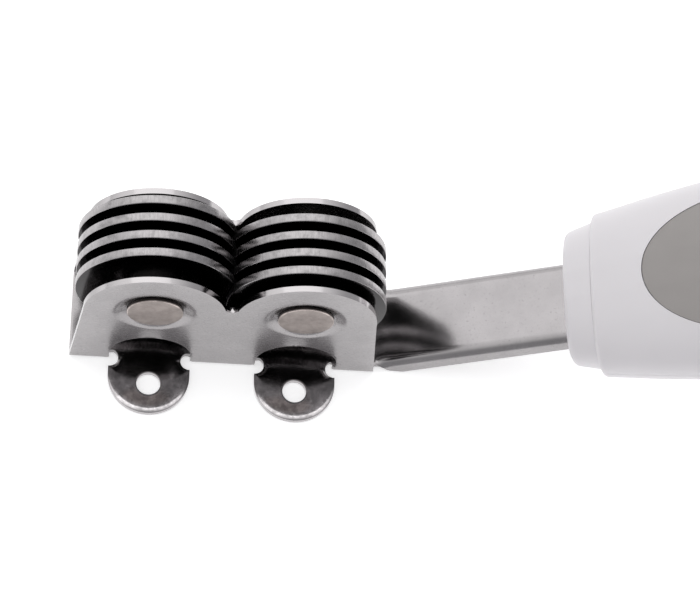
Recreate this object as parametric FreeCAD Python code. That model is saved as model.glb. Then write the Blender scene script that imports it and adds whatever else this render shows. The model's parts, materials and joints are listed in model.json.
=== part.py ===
"""Handheld disc knife sharpener, in millimetres.

+X runs from the head to the handle, +Y along the disc axles, +Z up.
The origin is on the underside of the bracket's web, midway between the axles.
"""
import FreeCAD
import Part
import math
import os

V = FreeCAD.Vector
Y_AXIS = V(0, 1, 0)
Z_AXIS = V(0, 0, 1)

# Bracket: one folded sheet with a web, two upright flanges, four feet and a neck
SHEET = 1.0
WIDTH = 16.8
HALF_BASE = 25.6
BEND_R = 1.4
AXLE_X = 12.2
AXLE_Z = 18.75
BUMP_R = 11.5
NOTCH_HALF = 1.0
NOTCH_DROP = 0.5
SKY = 40.0

# Feet, lanced out of the flanges and left flat with the web
FOOT_R = 6.8
FOOT_STEP = 2.8
FOOT_HOLE_R = 2.0
FOOT_HOLE_Y = 12.75
RELIEF_R = 1.5
RELIEF_X = 6.7
RELIEF_Y = 8.3

# Dimples that sink the rivet heads into the flanges
DIMPLE_DEPTH = 0.75
DIMPLE_R = 7.0
DIMPLE_FLOOR_R = 5.1

# Riveted axles
AXLE_R = 2.5
HEAD_R = 4.55
HEAD_T = 0.7
HEAD_CHAMFER = 0.2
SEAT_GAP = 0.02

# Sharpening discs and the rings between them
DISC_R = 13.0
DISC_T = 1.45
DISC_BORE_GAP = 0.05
DISC_CHAMFER = 0.15
DISCS_PER_AXLE = 4
DISC_PITCH = 3.1
STACK_Y = 0.2
RING_R = 4.0
RING_END_GAP = 0.05

# Neck and tang, rising from the web towards the handle
NECK_RISE = math.radians(26.0)
NECK_FROM = 23.85
NECK_BEND_R = 12.0
NECK_RUN = 30.67
NECK_HALF = 7.6
NECK_WALL = 2.7
NECK_EDGE_R = 1.9
NECK_IN_COLLAR = 11.0
TANG_HALF = 5.5
TANG_LENGTH = 44.0

# Handle: straight at first, then an arc that brings it level
GRIP_LIFT = 1.23
GRIP_STRAIGHT = 25.0
GRIP_ARC_R = 200.0
SECTION_POWER = 2.3
SECTION_POINTS = 16
COLLAR_LENGTH = 4.9
COLLAR_FRONT = (11.7, 5.3, 6.6)
COLLAR_REAR = (13.1, 5.6, 7.1)
COLLAR_EDGE_R = 1.4
SPIGOT = (10.2, 3.9, 5.6)
SPIGOT_END = 12.0
SPIGOT_GAP = 0.1
BODY_EDGE_R = 0.8
SHELL_WALL = 1.9
PARTING_GAP = 0.08
BODY_STATIONS = (
    (4.9, 14.4, 6.2, 7.6),
    (13.0, 15.8, 6.6, 8.3),
    (24.0, 17.4, 7.2, 9.0),
    (40.0, 18.3, 7.8, 9.6),
    (58.0, 16.9, 7.9, 9.5),
    (77.0, 14.6, 7.5, 8.8),
    (93.0, 13.2, 6.9, 7.9),
    (101.0, 11.9, 6.3, 7.1),
    (106.0, 9.6, 5.3, 5.9),
    (109.0, 6.3, 3.6, 3.9),
)
CAVITY_END = 105.0

# Soft oval let into the top of the handle
INLAY_AT = 32.3
INLAY_HALF_LENGTH = 18.9
INLAY_HALF_WIDTH = 12.5
INLAY_SINK = 0.1
INLAY_DEPTH = 1.15
INLAY_SEAM = 0.12

# Two screws that clamp the shells on the tang, and the hole to hang it by
SCREW_AT = (18.5, 37.0)
SCREW_R = 1.3
SCREW_GAP = 0.3
SCREW_HEAD_R = 2.5
SCREW_HEAD_T = 1.8
SCREW_HEAD_LOW = -6.77
SCREW_TIP = 3.63
POST_R = 3.2
POST_GAP = 0.05
SCREW_SLOT = (3.4, 0.7, 0.9)
HANG_AT = 98.0
HANG_R = 3.6
HANG_WALL_R = 5.4

REACH = 30.0


def polyline_face(edges):
    """A flat face inside a closed run of edges."""
    return Part.Face(Part.Wire(Part.__sortEdges__(edges)))


def line(a, b):
    return Part.LineSegment(a, b).toShape()


def arc(a, mid, b):
    return Part.Arc(a, mid, b).toShape()


def rod(radius, start, end):
    """A round bar from one point to another."""
    along = end - start
    return Part.makeCylinder(radius, along.Length, start, along)


# ---------------------------------------------------------------- bracket

def flange_outline():
    """The side view of the folded head: tapered ends and two round bumps."""
    notch_z = AXLE_Z + math.sqrt(BUMP_R ** 2 - (AXLE_X - NOTCH_HALF) ** 2)
    y = -WIDTH
    low_left = V(-HALF_BASE, y, 0)
    low_right = V(HALF_BASE, y, 0)
    right = V(AXLE_X + BUMP_R, y, AXLE_Z)
    left = V(-AXLE_X - BUMP_R, y, AXLE_Z)
    notch_right = V(NOTCH_HALF, y, notch_z)
    notch_left = V(-NOTCH_HALF, y, notch_z)
    edges = [
        line(low_left, low_right),
        line(low_right, right),
        arc(right, V(AXLE_X, y, AXLE_Z + BUMP_R), notch_right),
        arc(notch_right, V(0, y, notch_z - NOTCH_DROP), notch_left),
        arc(notch_left, V(-AXLE_X, y, AXLE_Z + BUMP_R), left),
        line(left, low_left),
    ]
    return polyline_face(edges).extrude(Y_AXIS * 2 * WIDTH)


def bent_box(half_width, floor, radius):
    """A long box whose two lower long edges are round."""
    box = Part.makeBox(2 * HALF_BASE, 2 * half_width, SKY, V(-HALF_BASE, -half_width, floor))
    low = [e for e in box.Edges if e.BoundBox.ZMax < floor + radius and e.BoundBox.YLength < radius]
    return box.makeFillet(radius, low)


def channel():
    """The folded U of the head, before the feet are lanced out."""
    outer = bent_box(WIDTH / 2, 0, BEND_R)
    inner = bent_box(WIDTH / 2 - SHEET, SHEET, BEND_R - SHEET)
    return outer.cut(inner).common(flange_outline())


def lance_window(side, x):
    """The arch that a foot leaves open in its flange."""
    y = side * (WIDTH / 2 - BEND_R)
    left = V(x - FOOT_R, y, FOOT_STEP)
    right = V(x + FOOT_R, y, FOOT_STEP)
    below = V(0, 0, -FOOT_STEP - SHEET)
    edges = [
        line(left + below, left),
        arc(left, V(x, y, FOOT_STEP + FOOT_R), right),
        line(right, right + below),
        line(right + below, left + below),
    ]
    return polyline_face(edges).extrude(Y_AXIS * side * 2 * BEND_R)


def foot(side, x):
    """A round-ended foot with its screw hole and two relief notches."""
    root_y = side * (WIDTH / 2 - BEND_R - SEAT_GAP)
    turn_y = side * (WIDTH / 2 + FOOT_STEP)
    tip_y = turn_y + side * FOOT_R
    left = V(x - FOOT_R, turn_y, 0)
    right = V(x + FOOT_R, turn_y, 0)
    root_left = V(x - FOOT_R, root_y, 0)
    root_right = V(x + FOOT_R, root_y, 0)
    edges = [
        line(root_left, left),
        arc(left, V(x, tip_y, 0), right),
        line(right, root_right),
        line(root_right, root_left),
    ]
    plate = polyline_face(edges).extrude(Z_AXIS * SHEET)
    hole = rod(FOOT_HOLE_R, V(x, side * FOOT_HOLE_Y, -SHEET), V(x, side * FOOT_HOLE_Y, 2 * SHEET))
    plate = plate.cut(hole)
    for end in (-1, 1):
        at = V(x + end * RELIEF_X, side * RELIEF_Y, -SHEET)
        plate = plate.cut(rod(RELIEF_R, at, at + Z_AXIS * 3 * SHEET))
    return plate


def dimple(side, x):
    """The dished ring of flange that an axle's head sits in."""
    skin_out = side * WIDTH / 2
    skin_in = side * (WIDTH / 2 - SHEET)
    sink = side * DIMPLE_DEPTH
    bore = AXLE_R + SEAT_GAP
    profile = [
        V(x + bore, skin_in - sink, AXLE_Z),
        V(x + DIMPLE_FLOOR_R, skin_in - sink, AXLE_Z),
        V(x + DIMPLE_R, skin_in, AXLE_Z),
        V(x + DIMPLE_R, skin_out, AXLE_Z),
        V(x + DIMPLE_FLOOR_R, skin_out - sink, AXLE_Z),
        V(x + bore, skin_out - sink, AXLE_Z),
    ]
    edges = [line(profile[i - 1], profile[i]) for i in range(len(profile))]
    return polyline_face(edges).revolve(V(x, 0, AXLE_Z), Y_AXIS, 360)


def rise_point(radius, along):
    """A point on the neck's side view, as far from the bend's centre as radius says."""
    centre = V(NECK_FROM, 0, SHEET + NECK_BEND_R)
    down = V(math.sin(NECK_RISE), 0, -math.cos(NECK_RISE))
    return centre + down * radius + tang_dir() * along


def tang_dir():
    return V(math.cos(NECK_RISE), 0, math.sin(NECK_RISE))


def tang_up():
    return V(-math.sin(NECK_RISE), 0, math.cos(NECK_RISE))


def neck_band(top_r, low_r, half_width, along):
    """The space between two curves that run level, bend up and climb straight."""
    centre = V(NECK_FROM, 0, SHEET + NECK_BEND_R)
    half = NECK_RISE / 2
    edges = []
    ends = []
    for radius in (top_r, low_r):
        start = centre + V(-2 * SHEET, 0, -radius)
        bend = centre + V(0, 0, -radius)
        mid = centre + V(math.sin(half), 0, -math.cos(half)) * radius
        bend_end = rise_point(radius, 0)
        far = rise_point(radius, along)
        edges += [line(start, bend), arc(bend, mid, bend_end), line(bend_end, far)]
        ends.append((start, far))
    edges += [line(ends[0][0], ends[1][0]), line(ends[0][1], ends[1][1])]
    band = polyline_face(edges).extrude(Y_AXIS * 2 * half_width)
    band.translate(V(0, -half_width, 0))
    return band


def round_top_edges(band, half_width, top_r):
    """Rounds the neck's two long upper edges."""
    centre = V(NECK_FROM, 0, SHEET + NECK_BEND_R)

    def on_top(vertex):
        p = vertex.Point - centre
        level = p.x <= 0 and abs(p.z + top_r) < SEAT_GAP
        climb = p.dot(tang_dir()) >= -SEAT_GAP and abs(p.dot(tang_up()) + top_r) < SEAT_GAP
        return level or climb

    def is_side(edge):
        return edge.BoundBox.YLength < SEAT_GAP and abs(abs(edge.BoundBox.YMax) - half_width) < SEAT_GAP

    long_edges = [e for e in band.Edges if is_side(e) and all(on_top(v) for v in e.Vertexes)]
    return band.makeFillet(NECK_EDGE_R, long_edges)


def neck():
    """The shallow upturned channel between the head and the handle, with its tang."""
    top_r = NECK_BEND_R
    under_r = NECK_BEND_R + SHEET
    wall_r = NECK_BEND_R + NECK_WALL
    run = NECK_RUN + NECK_IN_COLLAR
    outside = round_top_edges(neck_band(top_r, wall_r, NECK_HALF, run), NECK_HALF, top_r)
    above_floor = Part.makeBox(2 * SKY + run, WIDTH, 2 * SKY, V(0, -WIDTH / 2, 0))
    hollow = neck_band(under_r, wall_r + SHEET, NECK_HALF - SHEET, run + SHEET)
    body = outside.common(above_floor).cut(hollow)
    tang = neck_band(top_r, under_r, TANG_HALF, NECK_RUN + TANG_LENGTH)
    body = body.fuse(tang)
    for at in SCREW_AT:
        start = grip_point(at) - tang_up() * REACH
        body = body.cut(rod(SCREW_R + SCREW_GAP, start, start + tang_up() * 2 * REACH))
    return body


def bracket():
    body = channel()
    for side in (-1, 1):
        for x in (-AXLE_X, AXLE_X):
            body = body.cut(lance_window(side, x))
            hole_start = V(x, side * (WIDTH / 2 - 2 * SHEET), AXLE_Z)
            body = body.cut(rod(DIMPLE_R, hole_start, hole_start + Y_AXIS * side * 3 * SHEET))
            body = body.fuse(dimple(side, x))
            body = body.fuse(foot(side, x))
    return body.fuse(neck()).removeSplitter()


# ------------------------------------------------------- axles and discs

def seat_y():
    """How far from the middle a rivet head's seat lies."""
    return WIDTH / 2 - DIMPLE_DEPTH


def rivet_head(side, x):
    face = V(x, side * (seat_y() + HEAD_T), AXLE_Z)
    head = rod(HEAD_R, V(x, side * seat_y(), AXLE_Z), face)

    def on_face(edge):
        return abs(edge.BoundBox.YMax - face.y) < SEAT_GAP and edge.BoundBox.YLength < SEAT_GAP

    return head.makeChamfer(HEAD_CHAMFER, [e for e in head.Edges if on_face(e)])


def axle(x):
    shaft = rod(AXLE_R, V(x, -seat_y(), AXLE_Z), V(x, seat_y(), AXLE_Z))
    return shaft.fuse([rivet_head(-1, x), rivet_head(1, x)]).removeSplitter()


def disc_y(index):
    """Centre of the disc that is index places from the far end of the two stacks."""
    last = 2 * DISCS_PER_AXLE - 1
    return STACK_Y + (last / 2 - index) * DISC_PITCH / 2


def disc(x, y):
    body = rod(DISC_R, V(x, y - DISC_T / 2, AXLE_Z), V(x, y + DISC_T / 2, AXLE_Z))
    rims = [e for e in body.Edges if e.BoundBox.YLength < SEAT_GAP and e.BoundBox.XLength > DISC_R]
    body = body.makeChamfer(DISC_CHAMFER, rims)
    return body.cut(rod(AXLE_R + DISC_BORE_GAP, V(x, -WIDTH, AXLE_Z), V(x, WIDTH, AXLE_Z)))


def ring(x, y_low, y_high):
    """A loose ring on an axle, with a little play at both ends."""
    low = V(x, y_low + RING_END_GAP, AXLE_Z)
    high = V(x, y_high - RING_END_GAP, AXLE_Z)
    return rod(RING_R, low, high).cut(rod(AXLE_R + SEAT_GAP, V(x, -WIDTH, AXLE_Z), V(x, WIDTH, AXLE_Z)))


def stack(name, x, first):
    """One axle with its discs, the spacers between them and a ring at each end."""
    parts = {"axle_" + name: axle(x)}
    centres = [disc_y(first + 2 * i) for i in range(DISCS_PER_AXLE)]
    for i, y in enumerate(centres):
        parts["disc_%s_%d" % (name, i + 1)] = disc(x, y)
    for i in range(DISCS_PER_AXLE - 1):
        spacer = ring(x, centres[i + 1] + DISC_T / 2, centres[i] - DISC_T / 2)
        parts["spacer_%s_%d" % (name, i + 1)] = spacer
    wall = seat_y() - SHEET
    parts["end_ring_%s_far" % name] = ring(x, centres[0] + DISC_T / 2, wall)
    parts["end_ring_%s_near" % name] = ring(x, -wall, centres[-1] - DISC_T / 2)
    return parts


# ----------------------------------------------------------------- handle

def grip_point(s):
    """A point on the line where the two handle shells meet, s along from the collar's front."""
    start = rise_point(NECK_BEND_R + SHEET / 2, NECK_RUN) + tang_up() * GRIP_LIFT
    if s <= GRIP_STRAIGHT:
        return start + tang_dir() * s
    centre = start + tang_dir() * GRIP_STRAIGHT - tang_up() * GRIP_ARC_R
    return centre + grip_up(s) * GRIP_ARC_R


def grip_up(s):
    """The direction square to the handle's line at s, upwards."""
    slope = NECK_RISE - max(0.0, s - GRIP_STRAIGHT) / GRIP_ARC_R
    return V(-math.sin(slope), 0, math.cos(slope))


def side_curve(s, half_width, rise, drop, side):
    """One side of a superellipse square to the handle's line, from its lowest to its highest point."""
    up = grip_up(s)
    points = []
    for i in range(SECTION_POINTS + 1):
        turn = math.pi * (i / SECTION_POINTS - 0.5)
        across = abs(math.cos(turn)) ** (2 / SECTION_POWER)
        height = math.copysign(abs(math.sin(turn)) ** (2 / SECTION_POWER), math.sin(turn))
        reach = rise if height > 0 else drop
        points.append(grip_point(s) + Y_AXIS * side * half_width * across + up * reach * height)
    points[0] = grip_point(s) - up * drop
    points[-1] = grip_point(s) + up * rise
    curve = Part.BSplineCurve()
    curve.interpolate(Points=points, InitialTangent=Y_AXIS * side, FinalTangent=Y_AXIS * -side)
    return curve.toShape()


def section(s, half_width, rise, drop):
    """A closed superellipse with its own rise and drop, joined at its top and bottom."""
    sides = [side_curve(s, half_width, rise, drop, side) for side in (1, -1)]
    return Part.Wire(sides)


def grip_solid(inset):
    """The handle body's outer shape, drawn in by inset all round."""
    wires = [section(s, w - inset, up - inset, low - inset) for s, w, up, low in BODY_STATIONS]
    return Part.makeLoft(wires, True, False)


def prism_along(size, start, end):
    """A straight bar of one section between two places on the handle's line."""
    return Part.makeLoft([section(start, *size), section(end, *size)], True, True)


def slice_between(start, end):
    """A slab square to the handle's line, to cut lofts to length."""
    face_up = grip_up(start)
    along = V(face_up.z, 0, -face_up.x)
    slab = Part.makeBox(end - start, 2 * REACH, 2 * REACH, V(0, -REACH, -REACH))
    turn = math.degrees(math.atan2(along.z, along.x))
    slab.rotate(V(0, 0, 0), Y_AXIS, -turn)
    slab.translate(grip_point(start))
    return slab


def above_parting(gap):
    """Everything over the line where the shells meet, less a gap."""
    end = BODY_STATIONS[-1][0] + REACH
    mid = (GRIP_STRAIGHT + end) / 2
    a = grip_point(-REACH)
    b = grip_point(GRIP_STRAIGHT)
    c = grip_point(end)
    top = SKY * 4
    edges = [
        line(a, b),
        arc(b, grip_point(mid), c),
        line(c, V(c.x, 0, top)),
        line(V(c.x, 0, top), V(a.x, 0, top)),
        line(V(a.x, 0, top), a),
    ]
    region = polyline_face(edges).extrude(Y_AXIS * 2 * REACH)
    region.translate(V(0, -REACH, -gap))
    return region


def tang_slot():
    """Room for the neck's walls, from in front of the collar to inside the handle."""
    low = NECK_WALL - SHEET / 2 + SPIGOT_GAP
    high = SHEET / 2 + SPIGOT_GAP
    slot = Part.makeBox(SPIGOT_END + REACH, 2 * (NECK_HALF + SPIGOT_GAP), low + high)
    slot.translate(V(-REACH / 2, -NECK_HALF - SPIGOT_GAP, -low))
    slot.rotate(V(0, 0, 0), Y_AXIS, -math.degrees(NECK_RISE))
    slot.translate(grip_point(0) - tang_up() * GRIP_LIFT)
    return slot


def handle_collar():
    """The narrow front ring, with the spigot that holds it in the handle."""
    collar = Part.makeLoft([section(0, *COLLAR_FRONT), section(COLLAR_LENGTH, *COLLAR_REAR)], True, True)
    front = min(collar.Faces, key=lambda f: f.CenterOfMass.x)
    collar = collar.makeFillet(COLLAR_EDGE_R, front.Edges)
    spigot = prism_along(SPIGOT, COLLAR_LENGTH - SHEET, SPIGOT_END)
    return collar.fuse(spigot).cut(tang_slot())


def post(at, radius, low, high):
    """A round bar square to the tang, measured from the tang's mid-plane."""
    base = grip_point(at) - tang_up() * GRIP_LIFT
    if at > GRIP_STRAIGHT:
        base = rise_point(NECK_BEND_R + SHEET / 2, NECK_RUN + at)
    return rod(radius, base + tang_up() * low, base + tang_up() * high)


def inlay_prism(seam):
    """An upright oval bar through the top of the handle, drawn in by seam."""
    up = grip_up(INLAY_AT)
    along = V(up.z, 0, -up.x)
    at = grip_point(INLAY_AT)
    long_end = at + along * (INLAY_HALF_LENGTH - seam)
    side_end = at + Y_AXIS * (INLAY_HALF_WIDTH - seam)
    oval = Part.Ellipse(long_end, side_end, at).toShape()
    return Part.Face(Part.Wire(oval)).extrude(up * REACH)


def hollow_grip():
    """The whole handle body with its cavity, before it is split."""
    outer = grip_solid(0)
    front = min(outer.Faces, key=lambda f: f.CenterOfMass.x)
    outer = outer.makeFillet(BODY_EDGE_R, front.Edges)
    cavity = grip_solid(SHELL_WALL).common(slice_between(COLLAR_LENGTH + SHELL_WALL, CAVITY_END))
    spigot_room = tuple(size + SPIGOT_GAP for size in SPIGOT)
    opening = prism_along(spigot_room, 0, SPIGOT_END)
    hang = grip_point(HANG_AT)
    reach = grip_up(HANG_AT) * REACH
    eye_wall = rod(HANG_WALL_R, hang - reach, hang + reach).common(outer)
    shell = outer.cut(cavity).fuse(eye_wall).cut(opening)
    return shell.cut(rod(HANG_R, hang - reach, hang + reach))


def handle_shells():
    """The upper and lower halves, with the posts that pinch the tang between them."""
    shell = hollow_grip()
    core = grip_solid(SHELL_WALL / 2)
    top = shell.common(above_parting(0))
    bottom = shell.cut(above_parting(PARTING_GAP))
    face = SHEET / 2 + POST_GAP
    for at in SCREW_AT:
        top = top.fuse(post(at, POST_R, face, REACH).common(core))
        bottom = bottom.fuse(post(at, POST_R + SCREW_GAP, -REACH, -face).common(core))
    recess = inlay_prism(0).cut(grip_solid(INLAY_DEPTH + POST_GAP))
    top = top.cut(recess)
    for at in SCREW_AT:
        top = top.cut(post(at, SCREW_R + SEAT_GAP, -REACH, SCREW_TIP + POST_GAP))
        bottom = bottom.cut(post(at, SCREW_R + SCREW_GAP, -REACH, REACH))
        bottom = bottom.cut(post(at, SCREW_HEAD_R + SCREW_GAP, -REACH, SCREW_HEAD_LOW + SCREW_HEAD_T))
    return top, bottom


def grip_inlay():
    raised = inlay_prism(INLAY_SEAM).common(grip_solid(INLAY_SINK))
    return raised.cut(grip_solid(INLAY_DEPTH))


def handle_screws():
    """Both screws, each with a cross in its head."""
    screws = []
    for at in SCREW_AT:
        head_top = SCREW_HEAD_LOW + SCREW_HEAD_T
        screw = post(at, SCREW_HEAD_R, SCREW_HEAD_LOW, head_top)
        screw = screw.fuse(post(at, SCREW_R, head_top, SCREW_TIP))
        length, width, depth = SCREW_SLOT
        base = rise_point(NECK_BEND_R + SHEET / 2, NECK_RUN + at)
        for size in ((length, width), (width, length)):
            slot = Part.makeBox(size[0], size[1], 2 * depth, V(-size[0] / 2, -size[1] / 2, -depth))
            slot.rotate(V(0, 0, 0), Y_AXIS, -math.degrees(NECK_RISE))
            slot.translate(base + tang_up() * SCREW_HEAD_LOW)
            screw = screw.cut(slot)
        screws.append(screw)
    return Part.makeCompound(screws)


def handle():
    top, bottom = handle_shells()
    return {
        "handle_collar": handle_collar(),
        "handle_top_shell": top,
        "handle_bottom_shell": bottom,
        "grip_inlay": grip_inlay(),
        "handle_screws": handle_screws(),
    }


def main():
    os.makedirs("parts", exist_ok=True)
    nodes = {"bracket": bracket()}
    nodes.update(stack("left", -AXLE_X, 0))
    nodes.update(stack("right", AXLE_X, 1))
    nodes.update(handle())
    for name, shape in nodes.items():
        shape.exportStep("parts/%s.step" % name)
        box = shape.BoundBox
        print("%-20s solids %d volume %8.1f valid %s  x %.1f..%.1f z %.1f..%.1f" % (
            name, len(shape.Solids), shape.Volume, shape.isValid(), box.XMin, box.XMax, box.ZMin, box.ZMax))


main()
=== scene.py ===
"""Finished looks for a handheld disc knife sharpener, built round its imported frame.

The head is one sheet of stainless steel, folded here from a flat blank. Eight ground steel
discs turn on two riveted axles, and a moulded handle sits on the sheet's tang.
Sizes are in metres, in the frame's own axes: +X towards the handle, +Y along the axles, +Z up.
"""
import json
import math

import bmesh
import bpy
import numpy as np
from bpy.props import FloatProperty, FloatVectorProperty, IntProperty, PointerProperty
from mathutils import Matrix, Vector
from mathutils.geometry import delaunay_2d_cdt


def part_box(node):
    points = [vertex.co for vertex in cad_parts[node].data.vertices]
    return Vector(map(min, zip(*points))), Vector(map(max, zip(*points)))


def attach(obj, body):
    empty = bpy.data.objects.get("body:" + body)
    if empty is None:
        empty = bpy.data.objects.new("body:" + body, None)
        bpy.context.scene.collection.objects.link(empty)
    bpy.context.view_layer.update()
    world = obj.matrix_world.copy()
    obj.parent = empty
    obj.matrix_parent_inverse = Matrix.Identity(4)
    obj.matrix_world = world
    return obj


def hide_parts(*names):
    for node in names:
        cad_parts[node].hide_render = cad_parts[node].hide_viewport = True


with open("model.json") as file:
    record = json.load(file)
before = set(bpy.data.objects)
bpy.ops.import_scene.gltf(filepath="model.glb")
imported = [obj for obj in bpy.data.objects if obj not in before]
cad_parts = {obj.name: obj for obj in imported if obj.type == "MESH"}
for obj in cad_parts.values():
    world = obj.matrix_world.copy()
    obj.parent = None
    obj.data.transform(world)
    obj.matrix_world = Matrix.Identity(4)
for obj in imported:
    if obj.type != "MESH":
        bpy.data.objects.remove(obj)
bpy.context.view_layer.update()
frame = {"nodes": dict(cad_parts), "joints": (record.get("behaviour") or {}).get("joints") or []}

bl_info = {
    "name": "Disc Knife Sharpener",
    "version": (1, 0, 0),
    "blender": (4, 5, 0),
    "location": "View3D > Sidebar > Sharpener",
    "description": "Builds the finished pieces of a handheld disc knife sharpener",
    "category": "Object",
}

MM = 0.001
HINGES = {j["child"]: Vector(j["pos_m"]) for j in frame["joints"]}
AXLE_X = max(p.x for p in HINGES.values())
AXLE_Z = max(p.z for p in HINGES.values())
BRACKET_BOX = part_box("bracket")
DISC_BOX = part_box("disc_left_1")
HEAD_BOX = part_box("axle_left")
RING_NODES = [n for n in frame["nodes"] if n.startswith(("spacer_", "end_ring_"))]
SHELL_NODES = ["handle_top_shell", "handle_bottom_shell", "handle_collar"]

# Corners sharper than these stay sharp: the sheet's cut edges, a disc's two arrises, a rivet head's edges.
CUT_EDGE = math.radians(50)
DISC_ARRIS = math.radians(20)
RIVET_EDGE = math.radians(40)
# How strongly the sheet's large flat faces set the shading of their corners, out of 100.
FLAT_FACES_LEAD = 60
AXLE_FACETS = 96


# ------------------------------------------------------------------ colours and sizes

def linear(hex_colour):
    """An sRGB hex colour as the linear red, green and blue that shaders use."""
    channels = [int(hex_colour[i:i + 2], 16) / 255 for i in (1, 3, 5)]
    return tuple(c / 12.92 if c <= 0.04045 else ((c + 0.055) / 1.055) ** 2.4 for c in channels)


def size(name, default, description):
    """A length that a user may change, in metres."""
    return FloatProperty(
        name=name, default=default, description=description, unit="LENGTH", precision=5, min=0.0)


def colour(name, hex_colour, description):
    """A colour that a user may change."""
    return FloatVectorProperty(
        name=name, default=linear(hex_colour), description=description, subtype="COLOR", min=0.0, max=1.0)


class SheetSizes(bpy.types.PropertyGroup):
    """The folded head, its feet, its neck and its tang."""
    thickness: size("Sheet", 1.0 * MM, "Thickness of the sheet")
    width: size("Width", 16.8 * MM, "Over the outsides of the two flanges")
    half_base: size("Half length", -BRACKET_BOX[0].x, "From the middle of the web to its end")
    bend: size("Bend", 0.4 * MM, "Inside radius of the fold between web and flange")
    bump: size("Bump", 11.5 * MM, "Radius of each flange's round top")
    notch: size("Notch", 1.0 * MM, "Half the gap between the two bumps")
    notch_drop: size("Notch depth", 0.5 * MM, "How far the notch's floor sinks")
    foot: size("Foot", 6.8 * MM, "Radius of a foot's round end")
    foot_step: size("Foot step", 2.8 * MM, "From the flange to the middle of a foot's round end")
    foot_hole: size("Screw hole", 2.0 * MM, "Radius of the screw hole")
    foot_hole_y: size("Screw hole place", 12.75 * MM, "From the middle of the web to the screw hole")
    relief: size("Relief", 1.5 * MM, "Radius of the notches at a foot's root")
    relief_x: size("Relief side", 6.7 * MM, "From a foot's middle line to its notches")
    relief_y: size("Relief place", 8.3 * MM, "From the middle of the web to the notches")
    dimple_depth: size("Dimple depth", 0.75 * MM, "How far a rivet head's seat is pressed in")
    dimple: size("Dimple", 7.0 * MM, "Outer radius of the pressed seat, above and beside the head")
    dimple_low: size("Dimple below", 5.7 * MM, "Outer radius of the pressed seat, right below the head")
    dimple_floor: size("Dimple floor", 4.7 * MM, "Radius of the seat's flat floor")
    axle_hole: size("Axle hole", 2.52 * MM, "Radius of the hole for an axle")
    neck_rise: FloatProperty(
        name="Neck rise", default=math.radians(26.0), subtype="ANGLE", description="Slope of the neck")
    neck_from: size("Neck start", 23.85 * MM, "From the middle of the head to where the web bends up")
    neck_bend: size("Neck bend", 12.0 * MM, "Radius of the neck's upper face where it bends up")
    neck_run: size("Neck run", 30.67 * MM, "From the bend to the collar")
    neck_in_collar: size("Neck in collar", 11.0 * MM, "How far the neck's side walls reach into the handle")
    neck_half: size("Neck half width", 7.6 * MM, "Half the neck's width")
    neck_wall: size("Neck wall", 2.7 * MM, "Height of the neck's turned-down sides")
    neck_edge: size("Neck edge", 1.9 * MM, "Outside radius of the neck's long edges")
    tang_half: size("Tang half width", 5.5 * MM, "Half the tang's width")
    tang_length: size("Tang length", 44.0 * MM, "From the collar's front to the tang's end")
    edge_break: size("Edge break", 0.14 * MM, "Rounding of the sheet's cut edges")
    roll: size("Roll-over", 0.9 * MM, "Width of the rounded band along a foot's upper edge")
    roll_depth: size("Roll-over depth", 0.16 * MM, "How far that band falls away")
    mesh_step: size("Mesh step", 0.75 * MM, "Spacing of the points that the sheet is folded from")


class DiscSizes(bpy.types.PropertyGroup):
    """One sharpening disc."""
    radius: size("Radius", (DISC_BOX[1].z - DISC_BOX[0].z) / 2, "Radius of the rim")
    thickness: size("Thickness", DISC_BOX[1].y - DISC_BOX[0].y, "Thickness of the disc")
    bore: size("Bore", 2.55 * MM, "Radius of the hole that turns on the axle")
    edge: size("Edge", 0.17 * MM, "Rounding of the rim's two edges")
    around: IntProperty(name="Steps around", default=240, min=24, description="Facets round the rim")


class RivetSizes(bpy.types.PropertyGroup):
    """The riveted axles."""
    shaft: size("Shaft", 2.5 * MM, "Radius of the shaft")
    seat: size("Seat", 7.65 * MM, "From the middle of the head to a rivet head's underside")
    chamfer: size("Chamfer", 0.2 * MM, "Bright broken edge round the head's face")
    dome: size("Dome", 0.06 * MM, "How much the face swells at its middle")


class FinishColours(bpy.types.PropertyGroup):
    """The colours that a user may change."""
    sheet: colour("Sheet steel", "#9F9C9D", "Cold-rolled stainless sheet")
    disc: colour("Disc steel", "#A8A5A6", "Hardened ground steel")
    rivet: colour("Rivet steel", "#9F9692", "Upset end of the rivet wire")
    ring: colour("Ring steel", "#6F6D6C", "Plain turned steel")
    shell: colour("Handle", "#DAD7DA", "White moulded handle")
    inlay: colour("Inlay", "#989492", "Soft grey inlay")
    floor: colour("Floor", "#FAFAFA", "Pale studio floor")


# ------------------------------------------------------------------ making and placing pieces

def collection_object(name, mesh):
    """A new object in the scene, at the origin."""
    made = bpy.data.objects.new(name, mesh)
    bpy.context.scene.collection.objects.link(made)
    return made


def settle(made, sharp_angle):
    """Turns the modifiers' result into the object's own mesh, smooth but for edges over sharp_angle."""
    shape = bpy.data.meshes.new_from_object(made.evaluated_get(bpy.context.evaluated_depsgraph_get()))
    made.modifiers.clear()
    made.data = shape
    if sharp_angle is not None:
        work = bmesh.new()
        work.from_mesh(shape)
        for edge in work.edges:
            edge.smooth = len(edge.link_faces) == 2 and edge.calc_face_angle(0.0) < sharp_angle
        for face in work.faces:
            face.smooth = True
        work.to_mesh(shape)
        work.free()
    return made


def hand_in(made, slot_name, body, *nodes):
    """Gives a finished piece its body, in place of its plain nodes."""
    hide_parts(*nodes)
    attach(made, body)


def smooth_step(value, low, high):
    """Nought below low, one above high, and a soft S between."""
    share = min(1.0, max(0.0, (value - low) / (high - low)))
    return share * share * (3 - 2 * share)


def walk(corners, step):
    """Points along a run of corners, no further apart than step."""
    points = []
    for a, b in zip(corners, corners[1:]):
        count = max(1, math.ceil(math.dist(a, b) / step))
        points += [(a[0] + (b[0] - a[0]) * i / count, a[1] + (b[1] - a[1]) * i / count) for i in range(count)]
    return points + [corners[-1]]


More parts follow.
